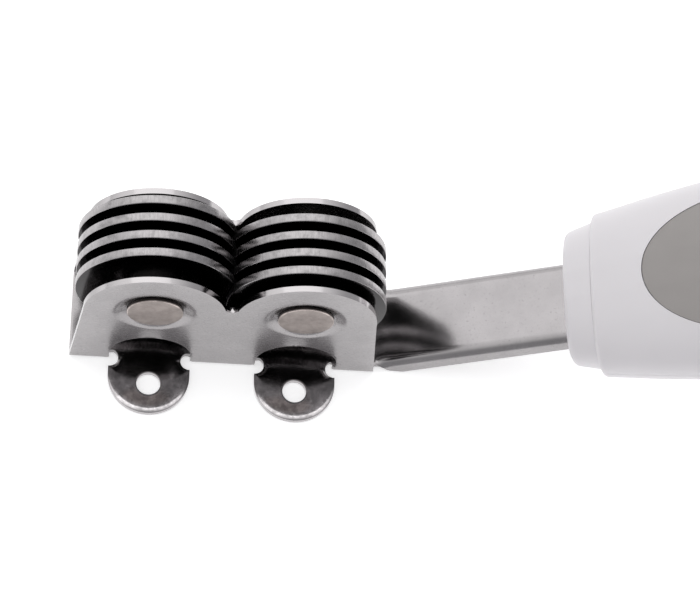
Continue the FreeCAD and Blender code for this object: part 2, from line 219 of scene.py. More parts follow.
def round_run(centre, radius, start, end, step):
    """Points along an arc, from one angle to another."""
    count = max(6, math.ceil(abs(end - start) * radius / step))
    angles = [start + (end - start) * i / count for i in range(count + 1)]
    return [(centre[0] + radius * math.cos(a), centre[1] + radius * math.sin(a)) for a in angles]


def inside(points, loop):
    """Which of the points lie inside a closed loop."""
    loop = np.asarray(loop)
    x, y = points[:, 0], points[:, 1]
    found = np.zeros(len(points), bool)
    for (x0, y0), (x1, y1) in zip(loop, np.roll(loop, -1, axis=0)):
        if y0 != y1:
            crosses = (y0 > y) != (y1 > y)
            found ^= crosses & (x < (x1 - x0) * (y - y0) / (y1 - y0) + x0)
    return found


# ------------------------------------------------------------------ the folded sheet

class Blank:
    """The flat sheet that folds into the head, feet, neck and tang.

    A point of the blank is (x, t): x along the head, t across the sheet from its middle line.
    The feet are lanced out of the flanges, so they have their own way of unfolding.
    """
    # A foot's blank is shorter and narrower than the foot, so that it fits the window it is lanced from.
    FOOT_LENGTH = 0.836
    FOOT_WIDTH = 0.93
    FOOT_WIDENS_OVER = 1.6 * MM
    # The neck leaves the head as flat as the web, and has its full section after this far.
    NECK_SETTLES = 2.5 * MM
    # Rows of points that follow a foot's edge, in shares of the rounded band, and its hole, in mesh steps.
    ROLL_ROWS = (0.3, 0.6, 1.0)
    HOLE_ROWS = (0.5, 1.1)
    # In mesh steps: spacing along curved rows, and how far loose points stay from a cut without or with rows.
    ROW_STEP = 0.6
    CLEAR_OF_CUTS = 0.4
    CLEAR_OF_ROWS = 1.5
    # Steps round the fold, through the neck's rolled edges, and rings over a pressed rivet seat.
    FOLD_STEPS = 6
    EDGE_STEPS = 5
    SEAT_RINGS = 16

    def __init__(self, s):
        self.s = s
        self.turn_at = s.width / 2 - s.bend - s.thickness
        self.mid_bend = s.bend + s.thickness / 2
        self.turn_end = self.turn_at + self.mid_bend * math.pi / 2
        self.flange_from = self.turn_end - s.bend - s.thickness
        self.axle_t = AXLE_Z + self.flange_from
        self.arch_t = s.foot_step + self.flange_from
        self.mid_neck_bend = s.neck_bend + s.thickness / 2
        self.neck_bend_length = self.mid_neck_bend * s.neck_rise
        self.neck_flat = s.neck_half - s.neck_edge
        self.mid_edge = s.neck_edge - s.thickness / 2
        self.neck_side = self.neck_flat + self.mid_edge * math.pi / 2 + s.neck_wall - s.neck_edge
        self.neck_end = s.neck_from + self.neck_bend_length + s.neck_run
        self.loops = []
        self.cut_count = 0
        self.points = []
        self.lines = []
        self.foot_marks = set()

    # -- from the blank to the folded sheet's mid-plane

    def bend_height(self, t):
        """Height of the mid-plane at t, on the web, the fold or the flange."""
        if t <= self.turn_at:
            return self.s.thickness / 2
        if t >= self.turn_end:
            return t - self.flange_from
        return self.s.thickness / 2 + self.mid_bend * (1 - math.cos((t - self.turn_at) / self.mid_bend))

    def end_x(self, t):
        """Where the flange's tapered end lies at t."""
        taper = self.s.half_base - AXLE_X - self.s.bump
        return self.s.half_base - taper * (self.bend_height(t) - self.s.thickness / 2) / AXLE_Z

    def fold_head(self, x, t):
        """A point of the web or of a flange, with the rivet seats pressed in."""
        side, across = math.copysign(1, t), abs(t)
        out = across
        if across > self.turn_at:
            turn = min(math.pi / 2, (across - self.turn_at) / self.mid_bend)
            out = self.turn_at + self.mid_bend * math.sin(turn)
        height = self.bend_height(across)
        lift = self.middle_line(x)[0].z - self.s.thickness / 2
        height += lift * (1 - smooth_step(across, self.turn_at, self.turn_end))
        if across > self.turn_end:
            from_axle = math.hypot(abs(x) - AXLE_X, height - AXLE_Z)
            below = smooth_step((AXLE_Z - height) / from_axle, 0, 0.9)
            outer = self.s.dimple + (self.s.dimple_low - self.s.dimple) * below
            out -= self.s.dimple_depth * (1 - smooth_step(from_axle, self.s.dimple_floor, outer))
        return Vector((x, side * out, height))

    def middle_line(self, x):
        """The sheet's middle at x, and the way square to it: level, then bending up, then straight."""
        along = max(0.0, x - self.s.neck_from)
        turn = min(self.s.neck_rise, along / self.mid_neck_bend)
        up = Vector((-math.sin(turn), 0, math.cos(turn)))
        ahead = Vector((math.cos(turn), 0, math.sin(turn)))
        centre = Vector((self.s.neck_from, 0, self.s.thickness + self.s.neck_bend))
        return centre - up * self.mid_neck_bend + ahead * max(0.0, along - self.neck_bend_length), up

    def fold_neck(self, x, t):
        """A point of the neck: it climbs, and its sides turn down."""
        middle, up = self.middle_line(x)
        side, across = math.copysign(1, t), abs(t)
        over = max(0.0, across - self.neck_flat)
        curl = min(math.pi / 2, over / self.mid_edge)
        below = max(0.0, over - self.mid_edge * math.pi / 2)
        set_in = smooth_step(x - self.s.half_base, 0, self.NECK_SETTLES)
        width = across + (min(across, self.neck_flat) + self.mid_edge * math.sin(curl) - across) * set_in
        drop = (self.mid_edge * (1 - math.cos(curl)) + below) * set_in
        return middle - up * drop + Vector((0, side * width, 0))

    def foot_spread(self, t):
        """How much wider the foot is than its blank at t."""
        widened = smooth_step(abs(t), self.turn_at, self.turn_at + self.FOOT_WIDENS_OVER)
        return 1 + (1 / self.FOOT_WIDTH - 1) * widened

    def foot_blank(self, middle, side, dx, y):
        """Where the foot's point (dx, y) lies on the blank."""
        t = self.turn_at + (y - self.turn_at) * self.FOOT_LENGTH
        return middle + dx / self.foot_spread(t), side * t

    def fold_foot(self, x, t):
        """A point of a foot, which lies level with the web."""
        middle = math.copysign(AXLE_X, x)
        dx = (x - middle) * self.foot_spread(t)
        y = self.turn_at + (abs(t) - self.turn_at) / self.FOOT_LENGTH
        return Vector((middle + dx, math.copysign(y, t), self.s.thickness / 2))

    # -- the blank's outline, cuts and holes

    def add_loop(self, loop, foot=False):
        """A closed cut. Returns it, so that the faces inside a hole can be dropped."""
        first = len(self.points)
        self.points += loop
        self.lines += [(first + i, first + (i + 1) % len(loop)) for i in range(len(loop))]
        if foot:
            self.foot_marks.update(range(first, len(self.points)))
        return loop

    def neck_half_at(self, x):
        """Half the blank's width along the neck, whose sides are cut to clear the floor."""
        middle, up = self.middle_line(x)
        deep = min(self.s.neck_wall, middle.z / up.z + self.s.thickness / 2)
        curled = min(1.0, deep / self.s.neck_edge)
        return self.neck_flat + self.mid_edge * math.pi / 2 * curled + max(0.0, deep - self.s.neck_edge)

    def outline_half(self, step):
        """The blank's edge on the +Y side, from the left end to the tang's end."""
        s = self.s
        turns = [self.turn_at + (self.turn_end - self.turn_at) * i / self.FOLD_STEPS
                 for i in range(self.FOLD_STEPS + 1)]
        end = [(self.end_x(t), t) for t in turns]
        end += walk([end[-1], (AXLE_X + s.bump, self.axle_t)], step)[1:-1]
        notch_angle = math.acos((AXLE_X - s.notch) / s.bump)
        left = round_run((-AXLE_X, self.axle_t), s.bump, math.pi, notch_angle, step)
        right = round_run((AXLE_X, self.axle_t), s.bump, math.pi - notch_angle, 0, step)
        rim_t = left[-1][1]
        dips = [s.notch * (i / 4 - 1) for i in range(1, 8)]
        notch = [(x, rim_t - s.notch_drop * (1 - (x / s.notch) ** 2)) for x in dips]
        wall_end = self.neck_end + s.neck_in_collar
        tang_end = self.neck_end + s.tang_length
        settling = [s.half_base + self.NECK_SETTLES * i / 5 for i in range(1, 11)]
        neck = [(x, self.neck_half_at(x)) for x in settling]
        straight = [neck[-1], (wall_end, self.neck_side), (wall_end, s.tang_half)]
        straight += [(tang_end, s.tang_half), (tang_end, 0)]
        web_end = walk([(-s.half_base, 0), (-s.half_base, self.turn_at)], step)[:-1]
        flange = [(-x, t) for x, t in end] + left + notch + right + end[::-1]
        return web_end + flange + neck + walk(straight, step)[1:]

    def foot_edge(self, step, inset=0.0):
        """Half a foot's edge, or a line inset from it, from its root notch to its tip, as (dx, y)."""
        s = self.s
        relief, half = s.relief + inset, s.foot - inset
        dip = math.asin((s.relief_y - self.turn_at) / relief)
        top = math.acos((half - s.relief_x) / relief)
        notch = round_run((s.relief_x, s.relief_y), relief, math.pi + dip, top, step / 2)
        tip_y = s.width / 2 + s.foot_step
        side = walk([notch[-1], (half, tip_y)], step)[1:-1]
        return notch + side + round_run((0, tip_y), half, 0, math.pi / 2, step)

    def whole_edge(self, step, inset=0.0):
        """Both halves of foot_edge, from root to root."""
        half = self.foot_edge(step, inset)
        return [(-dx, y) for dx, y in half] + half[-2::-1]

    def hole_ring(self, step, out=0.0):
        """A ring round a foot's screw hole, so far out from its edge."""
        return round_run((0, self.s.foot_hole_y), self.s.foot_hole + out, 0, 2 * math.pi, step)

    def hole_near(self, middle, side):
        """The screw hole of one foot, on the blank."""
        return [self.foot_blank(middle, side, dx, y) for dx, y in self.hole_ring(self.s.mesh_step / 2)]

    def lance(self, middle, side, step):
        """Cuts a foot free on three sides, and drills it. Returns the cut, the hole and the foot."""
        s = self.s
        arch = round_run((middle, self.arch_t), s.foot, 0, math.pi, step)
        window = walk([(middle + s.foot, self.turn_at), arch[0]], step)[:-1] + arch
        window += walk([arch[-1], (middle - s.foot, self.turn_at)], step)[1:]
        window = [(x, side * t) for x, t in window]
        edge = [self.foot_blank(middle, side, dx, y) for dx, y in self.whole_edge(step)]
        first = len(self.points)
        cut = self.add_loop(window + edge)
        self.foot_marks.update(range(first + len(window), len(self.points)))
        ring = self.hole_ring(step / 2)[:-1]
        hole = self.add_loop([self.foot_blank(middle, side, dx, y) for dx, y in ring], foot=True)
        return cut, hole, edge

    def cut_all(self, step):
        """All cuts. Fills self.loops with the outline first and then what is cut away."""
        half = self.outline_half(step)
        outline = self.add_loop(half + [(x, -t) for x, t in half[-2:0:-1]])
        feet = []
        holes = []
        for side in (-1, 1):
            for middle in (-AXLE_X, AXLE_X):
                cut, hole, edge = self.lance(middle, side, step)
                holes += [cut, hole]
                feet.append((middle, side, edge))
                ring = round_run((middle, side * self.axle_t), self.s.axle_hole, 0, 2 * math.pi, step / 2)
                holes.append(self.add_loop(ring[:-1]))
        self.loops = [outline] + holes
        self.cut_count = len(self.points)
        return feet

    # -- points inside the sheet

    def add_free(self, points, gap, foot=False):
        """Adds those of the points that lie clear of every cut."""
        points = np.array(points)
        if not foot:
            keep = inside(points, self.loops[0])
            for loop in self.loops[1:]:
                keep &= ~inside(points, loop)
            points = points[keep]
        edges = np.array([self.points[i] for i in range(self.cut_count)])
        near = np.array([np.min(np.sum((edges - p) ** 2, axis=1)) for p in points])
        points = points[near > gap * gap]
        first = len(self.points)
        self.points += [tuple(p) for p in points]
        if foot:
            self.foot_marks.update(range(first, len(self.points)))

    def head_points(self, step):
        """Rows along the web and flanges, close together in the folds, and rings round the rivet seats."""
        top = AXLE_Z + self.s.bump + self.flange_from
        rows = [step * i for i in range(int(self.turn_at / step) + 1)]
        rows += [self.turn_at + (self.turn_end - self.turn_at) * i / (self.FOLD_STEPS + 1)
                 for i in range(self.FOLD_STEPS + 2)]
        rows += list(np.arange(self.turn_end + step, top, step))
        columns = np.arange(-self.s.half_base + step / 2, self.s.half_base, step)
        clear = self.s.dimple + step / 2
        points = []
        for t in rows:
            for x in columns:
                from_axle = math.hypot(abs(x) - AXLE_X, t - self.flange_from - AXLE_Z)
                from_arch = math.hypot(abs(x) - AXLE_X, max(0.0, t - self.arch_t))
                in_window = t > self.turn_at and from_arch < self.s.foot
                if from_axle > clear and not in_window:
                    points += [(x, t), (x, -t)]
        spread = (self.s.dimple + 0.1 * MM - self.s.axle_hole) / self.SEAT_RINGS
        for side in (-1, 1):
            for middle in (-AXLE_X, AXLE_X):
                centre = (middle, side * self.axle_t)
                for i in range(self.SEAT_RINGS - 1):
                    radius = self.s.axle_hole + 0.5 * MM + spread * i
                    points += round_run(centre, radius, 0, 2 * math.pi, self.ROW_STEP * step)[:-1]
        return points

    def neck_points(self, step):
        """Rows along the neck and tang, close together where the sides turn down."""
        end = self.neck_end + self.s.tang_length
        rows = list(np.arange(0, self.neck_flat, step))
        quarter = self.mid_edge * math.pi / 2
        rows += [self.neck_flat + quarter * i / self.EDGE_STEPS for i in range(self.EDGE_STEPS + 1)]
        points = []
        for x in np.arange(self.s.half_base + 0.3 * step, end, step * 0.8):
            for t in rows:
                points += [(x, t), (x, -t)]
        return points

    def add_row(self, middle, side, row):
        """A row of one foot's points that lies where it is put."""
        first = len(self.points)
        self.points += [self.foot_blank(middle, side, dx, y) for dx, y in row]
        self.foot_marks.update(range(first, len(self.points)))

    def foot_points(self, middle, side, step):
        """A grid over one foot."""
        tip = self.s.width / 2 + self.s.foot_step + self.s.foot
        spots = []
        for y in np.arange(self.turn_at + step / 2, tip, step):
            for dx in np.arange(-self.s.foot, self.s.foot, step):
                spots.append(self.foot_blank(middle, side, dx, y))
        return spots

    def fold(self):
        """Cuts, meshes and folds the blank. Returns corners, triangles and the corners' flat places."""
        step = self.s.mesh_step
        feet = self.cut_all(step)
        self.add_free(self.head_points(step) + self.neck_points(step), self.CLEAR_OF_CUTS * step)
        for middle, side, edge in feet:
            grid = np.array(self.foot_points(middle, side, step))
            grid = grid[inside(grid, edge) & ~inside(grid, self.hole_near(middle, side))]
            self.add_free(grid, self.CLEAR_OF_ROWS * step, foot=True)
            for inset in self.ROLL_ROWS:
                self.add_row(middle, side, self.whole_edge(self.ROW_STEP * step, inset * self.s.roll)[1:-1])
            for out in self.HOLE_ROWS:
                self.add_row(middle, side, self.hole_ring(self.ROW_STEP * step, out * step)[:-1])
        flat = [Vector((x / MM, t / MM)) for x, t in self.points]
        corners, _, faces, origins, _, _ = delaunay_2d_cdt(flat, self.lines, [], 0, 1e-5)
        spots = np.array([(c.x * MM, c.y * MM) for c in corners])
        centres = np.array([spots[list(f)].mean(axis=0) for f in faces])
        keep = inside(centres, self.loops[0])
        for loop in self.loops[1:]:
            keep &= ~inside(centres, loop)
        triangles = [f for f, kept in zip(faces, keep) if kept]
        folded = []
        for (x, t), origin in zip(spots, origins):
            if any(i in self.foot_marks for i in origin):
                folded.append(self.fold_foot(x, t))
            elif x > self.s.half_base:
                folded.append(self.fold_neck(x, t))
            else:
                folded.append(self.fold_head(x, t))
        return folded, triangles, spots


def roll_over(mesh, blank):
    """Rounds the feet's upper edges down, as a blunt press tool leaves them.

    It also brings back what the thickness pushed a hair under the floor or past the web's end.
    """
    s = blank.s
    edge = np.array(blank.whole_edge(s.mesh_step / 2))
    for corner in mesh.vertices:
        dx, y = abs(corner.co.x) - AXLE_X, abs(corner.co.y)
        on_foot_top = y > s.width / 2 and 0.6 * s.thickness < corner.co.z < 1.1 * s.thickness
        if on_foot_top:
            away = math.sqrt(np.min(np.sum((edge - (dx, y)) ** 2, axis=1)))
            corner.co.z -= s.roll_depth * max(0.0, 1 - away / s.roll) ** 2
        corner.co.z = max(corner.co.z, 0.0)
        corner.co.x = max(corner.co.x, -s.half_base)


def folded_sheet(sizes):
    """The bracket: folded mid-plane, then given its thickness and its broken edges."""
    blank = Blank(sizes)
    corners, triangles, spots = blank.fold()
    mesh = bpy.data.meshes.new("bracket_sheet")
    mesh.from_pydata(corners, [], triangles)
    layer = mesh.uv_layers.new(name="blank")
    for loop in mesh.loops:
        layer.data[loop.index].uv = spots[loop.vertex_index]
    loose = bmesh.new()
    loose.from_mesh(mesh)
    bmesh.ops.delete(loose, geom=[v for v in loose.verts if not v.link_faces], context="VERTS")
    loose.to_mesh(mesh)
    loose.free()
    made = collection_object("bracket_sheet", mesh)
    wall = made.modifiers.new("thickness", "SOLIDIFY")
    wall.thickness = sizes.thickness
    wall.offset = 0.0
    wall.use_even_offset = True
    wall.use_quality_normals = True
    edge = made.modifiers.new("edge break", "BEVEL")
    edge.width = sizes.edge_break
    edge.segments = 2
    edge.limit_method = "ANGLE"
    edge.angle_limit = CUT_EDGE
    settle(made, None)
    roll_over(made.data, blank)
    for face in made.data.polygons:
        face.use_smooth = True
    even = made.modifiers.new("even normals", "WEIGHTED_NORMAL")
    even.weight = FLAT_FACES_LEAD
    return settle(made, None)


# ------------------------------------------------------------------ ground discs

def disc_tree():
    """Geometry nodes for one disc: a rounded strip swept round the axle."""
    tree = bpy.data.node_groups.new("sharpening disc", "GeometryNodeTree")
    for name in ("Radius", "Bore", "Thickness", "Edge"):
        tree.interface.new_socket(name=name, in_out="INPUT", socket_type="NodeSocketFloat")
    tree.interface.new_socket(name="Around", in_out="INPUT", socket_type="NodeSocketInt")
    tree.interface.new_socket(name="Place", in_out="INPUT", socket_type="NodeSocketVector")
    tree.interface.new_socket(name="Finish", in_out="INPUT", socket_type="NodeSocketMaterial")
    tree.interface.new_socket(name="Disc", in_out="OUTPUT", socket_type="NodeSocketGeometry")
    given = add(tree, "NodeGroupInput").outputs
    ends = {0: given["Radius"], 1: given["Bore"]}
    breadth = add(tree, "ShaderNodeMath", ends, operation="SUBTRACT").outputs[0]
    both = add(tree, "ShaderNodeMath", ends).outputs[0]
    middle = add(tree, "ShaderNodeMath", {0: both, 1: 0.5}, operation="MULTIPLY").outputs[0]
    strip = add(tree, "GeometryNodeCurvePrimitiveQuadrilateral", {
        "Width": breadth, "Height": given["Thickness"]})
    strip = add(tree, "GeometryNodeFilletCurve",
                {"Curve": strip.outputs[0], "Count": 3, "Radius": given["Edge"]}, mode="POLY")
    round_path = add(tree, "GeometryNodeCurvePrimitiveCircle", {
        "Resolution": given["Around"], "Radius": middle})
    swept = add(tree, "GeometryNodeCurveToMesh", {
        "Curve": round_path.outputs[0], "Profile Curve": strip.outputs[0]})
    placed = add(tree, "GeometryNodeTransform", {
        "Geometry": swept.outputs[0], "Translation": given["Place"], "Rotation": (math.pi / 2, 0, 0)})
    real = add(tree, "GeometryNodeRealizeInstances", {"Geometry": placed.outputs[0]})
    finished = add(tree, "GeometryNodeSetMaterial", {
        "Geometry": real.outputs[0], "Material": given["Finish"]})
    add(tree, "NodeGroupOutput", {"Disc": finished.outputs[0]})
    return tree


def set_input(modifier, name, value):
    """Sets one named input of a geometry nodes modifier."""
    for item in modifier.node_group.interface.items_tree:
        if item.name == name and item.in_out == "INPUT":
            modifier[item.identifier] = value


def ground_disc(node, tree, sizes, finish):
    """One disc in the place of its plain node."""
    low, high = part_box(node)
    made = collection_object("ground_" + node, bpy.data.meshes.new("ground_" + node))
    shape = made.modifiers.new("disc", "NODES")
    shape.node_group = tree
    given = {"Radius": sizes.radius, "Bore": sizes.bore, "Thickness": sizes.thickness, "Edge": sizes.edge,
             "Around": sizes.around, "Place": (low + high) / 2, "Finish": finish}
    for name, value in given.items():
        set_input(shape, name, value)
    settle(made, DISC_ARRIS)
    hand_in(made, "disc_steel", node, node)


# ------------------------------------------------------------------ riveted axles

def head_profile(sizes):
    """Half of an axle's outline from its face inwards, as (radius, y, finish).

    The finish is 1 on the rim, which is rubbed bright and given a painted highlight, -1 on the side and
    underside, which get painted shade for the pressed seat, and 0 elsewhere.
    """
    low, high = HEAD_BOX
    face, radius = high.y, (high.x - low.x) / 2
    flat = radius - sizes.chamfer
    swell = [(flat * i / 6, face - sizes.dome * (i / 6) ** 2, 0.0) for i in range(7)]
    turns = [math.pi / 2 * i / 5 for i in range(1, 6)]
    edge = face - sizes.dome
    drop = 0.8 * sizes.chamfer
    rim = [(flat + sizes.chamfer * math.sin(a), edge - drop * (1 - math.cos(a)), 1.0) for a in turns]
    foot = 0.12 * MM
    wall = [(radius, rim[-1][1] - 0.05 * MM, -1.0), (radius, sizes.seat + foot, -1.0)]
    under = wall + [(radius - foot, sizes.seat, -1.0), (sizes.shaft, sizes.seat, 0.0)]
    return swell + rim + under + [(sizes.shaft, 0.0, 0.0)]


def riveted_axle(node, sizes, finish):
    """A shaft with a hammered-over head at each end, turned about the axle's line."""
    half = head_profile(sizes)
    outline = half + [(r, -y, edge) for r, y, edge in half[-2::-1]]
    work = bmesh.new()
    mark = work.verts.layers.float.new("rim")
    centre_x = sum(c.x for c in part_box(node)) / 2
    rings = []
    for radius, y, edge in outline:
        count = 1 if radius == 0 else AXLE_FACETS
        ring = []
        for i in range(count):
            turn = 2 * math.pi * i / AXLE_FACETS
            corner = work.verts.new((centre_x + radius * math.cos(turn), y, AXLE_Z + radius * math.sin(turn)))
            corner[mark] = edge
            ring.append(corner)
        rings.append(ring)
    for a, b in zip(rings, rings[1:]):
        for i in range(AXLE_FACETS):
            j = (i + 1) % AXLE_FACETS
            corners = [a[i % len(a)], a[j % len(a)], b[j % len(b)], b[i % len(b)]]
            work.faces.new(list(dict.fromkeys(corners)))
    bmesh.ops.recalc_face_normals(work, faces=work.faces)
    for face in work.faces:
        face.smooth = True
    for edge in work.edges:
        edge.smooth = edge.calc_face_angle(0.0) < RIVET_EDGE
    mesh = bpy.data.meshes.new("riveted_" + node)
    work.to_mesh(mesh)
    work.free()
    made = collection_object("riveted_" + node, mesh)
    made.data.materials.append(finish)
    hand_in(made, "rivet_steel", "frame", node)


# ------------------------------------------------------------------ finishes

def add(tree, kind, inputs=None, **settings):
    """Adds a node with its settings, and links or fills its inputs."""
    node = tree.nodes.new(kind)
    for name, value in settings.items():
        setattr(node, name, value)
    for socket, value in (inputs or {}).items():
        if isinstance(value, bpy.types.NodeSocket):
            tree.links.new(value, node.inputs[socket])
        else:
            node.inputs[socket].default_value = value
    return node


def start_finish(name, **constants):
    """A new material with its shader's plain values set. Returns the material, its tree and its shader."""
    made = bpy.data.materials.new(name)
    made.use_nodes = True
    tree = made.node_tree
    shader = tree.nodes["Principled BSDF"]
    for socket, value in constants.items():
        shader.inputs[socket.replace("_", " ")].default_value = value
    return made, tree, shader


def per_mm(millimetres):
    """A pattern's scale, from the real spacing of its lumps or lines."""
    return 1 / (millimetres * MM)


def tone(base, factor):
    """A linear colour, lighter or darker by a factor, ready for a socket."""
    return (*[min(1.0, c * factor) for c in base], 1.0)


# Places on the sheet where its finish changes: from the middle plane outwards, and up from the floor.
FLANGE_INNER = 7.3 * MM
FLANGE_OUTER = 8.7 * MM
# Between these distances from the middle plane, the feet's painted reflection turns from dark to light.
FOOT_REFLECTION_FROM, FOOT_REFLECTION_FULL = 11.5 * MM, 15.0 * MM
ABOVE_WEB = 3.0 * MM


def scuffed_foot_painted_reflection(tree, base, solid, sideways, upright):
    """A foot's colour: patchy scuffs under a painted reflection that keeps it dark at its root and lightens
    it towards its tip, and plain where its edge rolls over.
    """
    scuffs = add(tree, "ShaderNodeTexNoise", {
        "Vector": solid, "Scale": per_mm(1.7), "Detail": 5.0, "Roughness": 0.7}).outputs[0]
    rubbed = add(tree, "ShaderNodeMapRange", {0: scuffs, 1: 0.38, 2: 0.62}).outputs[0]
    # Painted reflection: the root's mix is dark and the tip's mix much lighter, for the flange mirrored dark
    # near the root and brighter surroundings further out. The noise patches are scuffs.
    root = add(tree, "ShaderNodeMix", {
        0: rubbed, 6: tone(base, 0.75), 7: tone(base, 1.3)}, data_type="RGBA").outputs[2]
    tip = add(tree, "ShaderNodeMix", {
        0: rubbed, 6: tone(base, 1.2), 7: tone(base, 2.4)}, data_type="RGBA").outputs[2]
    outwards = add(tree, "ShaderNodeMapRange", {0: sideways, 1: FOOT_REFLECTION_FROM, 2: FOOT_REFLECTION_FULL}).outputs[0]
    scuffs_and_painted_reflection = add(tree, "ShaderNodeMix", {0: outwards, 6: root, 7: tip}, data_type="RGBA").outputs[2]
    rolled = add(tree, "ShaderNodeMapRange", {0: upright, 1: 0.995, 2: 0.96}).outputs[0]
    return add(tree, "ShaderNodeMix", {
        0: rolled, 6: scuffs_and_painted_reflection, 7: tone(base, 0.95)}, data_type="RGBA").outputs[2]


def edge_highlight_mask(tree, height, rise, sideways, upright, past_flange):
    """The mask for a painted highlight: one on the feet's cut edges and along the flanges' tops, and nought
    on the sheet's faces.
    """
    foot_edge = add(tree, "ShaderNodeMapRange", {0: upright, 1: 0.75, 2: 0.5}).outputs[0]
    foot_edge = add(tree, "ShaderNodeMath", {0: foot_edge, 1: past_flange}, operation="MULTIPLY").outputs[0]
    top = add(tree, "ShaderNodeMapRange", {0: rise, 1: 0.5, 2: 0.75}).outputs[0]
    in_flange = add(tree, "ShaderNodeMath", {
        0: sideways, 1: FLANGE_INNER}, operation="GREATER_THAN").outputs[0]
    above_web = add(tree, "ShaderNodeMath", {0: height, 1: ABOVE_WEB}, operation="GREATER_THAN").outputs[0]
    top = add(tree, "ShaderNodeMath", {0: top, 1: in_flange}, operation="MULTIPLY").outputs[0]
    top = add(tree, "ShaderNodeMath", {0: top, 1: above_web}, operation="MULTIPLY").outputs[0]
    return add(tree, "ShaderNodeMath", {0: top, 1: foot_edge}, operation="MAXIMUM").outputs[0]


def rolled_stainless_sheet(base):
    """Stainless sheet, cold-rolled and tumbled: satin, with fine rolling lines, faint pits, scuffs and a
    painted reflection on the feet, and a painted highlight on the edges where the press tool cut it and along
    the flanges' tops."""
    made, tree, shader = start_finish("rolled_stainless_sheet", Metallic=1.0)
    blank = add(tree, "ShaderNodeUVMap", uv_map="blank").outputs[0]
    drawn = add(tree, "ShaderNodeMapping", {"Vector": blank, "Scale": (0.15, 1.0, 1.0)}).outputs[0]
    # Real rolling lines are finer. These are as coarse as they have to be to show.
    lines = add(tree, "ShaderNodeTexNoise", {
        "Vector": drawn, "Scale": per_mm(0.22), "Detail": 3.0, "Roughness": 0.6}).outputs[0]
    solid = add(tree, "ShaderNodeTexCoord").outputs["Object"]
    clouds = add(tree, "ShaderNodeTexNoise", {
        "Vector": solid, "Scale": per_mm(5.0), "Detail": 3.0, "Roughness": 0.55}).outputs[0]
    pits = add(tree, "ShaderNodeTexNoise", {
        "Vector": solid, "Scale": per_mm(0.45), "Detail": 2.0, "Roughness": 0.6}).outputs[0]
    worn = add(tree, "ShaderNodeMapRange", {0: clouds, 1: 0.3, 2: 0.7, 3: 0.0, 4: 1.0}).outputs[0]
    spots = add(tree, "ShaderNodeMapRange", {0: pits, 1: 0.62, 2: 0.74, 3: 0.0, 4: 1.0}).outputs[0]
    clouded = add(tree, "ShaderNodeMix", {
        0: worn, 6: tone(base, 0.94), 7: tone(base, 1.06)}, data_type="RGBA").outputs[2]
    pitted = add(tree, "ShaderNodeMix", {
        0: spots, 6: clouded, 7: tone(base, 0.8)}, data_type="RGBA").outputs[2]
    place = add(tree, "ShaderNodeSeparateXYZ", {0: solid}).outputs
    normal = add(tree, "ShaderNodeNewGeometry").outputs["Normal"]
    facing = add(tree, "ShaderNodeSeparateXYZ", {0: normal}).outputs
    sideways = add(tree, "ShaderNodeMath", {0: place["Y"]}, operation="ABSOLUTE").outputs[0]
    upright = add(tree, "ShaderNodeMath", {0: facing["Z"]}, operation="ABSOLUTE").outputs[0]
    past_flange = add(tree, "ShaderNodeMath", {
        0: sideways, 1: FLANGE_OUTER}, operation="GREATER_THAN").outputs[0]
    scuffs_and_painted_reflection = scuffed_foot_painted_reflection(tree, base, solid, sideways, upright)
    footed = add(tree, "ShaderNodeMix", {
        0: past_flange, 6: pitted, 7: scuffs_and_painted_reflection}, data_type="RGBA").outputs[2]
    painted_edge_highlight = edge_highlight_mask(tree, place["Z"], facing["Z"], sideways, upright, past_flange)
    # Painted highlight: the cut edges and the flanges' tops get a colour 1.45 times lighter than the sheet.
    edged = add(tree, "ShaderNodeMix", {
        0: painted_edge_highlight, 6: footed, 7: tone(base, 1.45)}, data_type="RGBA").outputs[2]
    tree.links.new(edged, shader.inputs["Base Color"])
    on_flange = add(tree, "ShaderNodeMath", {0: facing["Y"]}, operation="ABSOLUTE").outputs[0]
    satin = add(tree, "ShaderNodeMapRange", {0: on_flange, 1: 0.5, 2: 0.9, 3: 0.14, 4: 0.25}).outputs[0]
    gloss = add(tree, "ShaderNodeMapRange", {0: lines, 1: 0.3, 2: 0.7, 3: 0.9, 4: 1.2}).outputs[0]
    gloss = add(tree, "ShaderNodeMath", {0: satin, 1: gloss}, operation="MULTIPLY").outputs[0]
    tree.links.new(gloss, shader.inputs["Roughness"])
    relief = add(tree, "ShaderNodeMath", {0: lines, 1: pits}, operation="ADD").outputs[0]
    bump = add(tree, "ShaderNodeBump", {"Strength": 0.12, "Distance": 0.01 * MM, "Height": relief}).outputs[0]
    tree.links.new(bump, shader.inputs["Normal"])
    return made


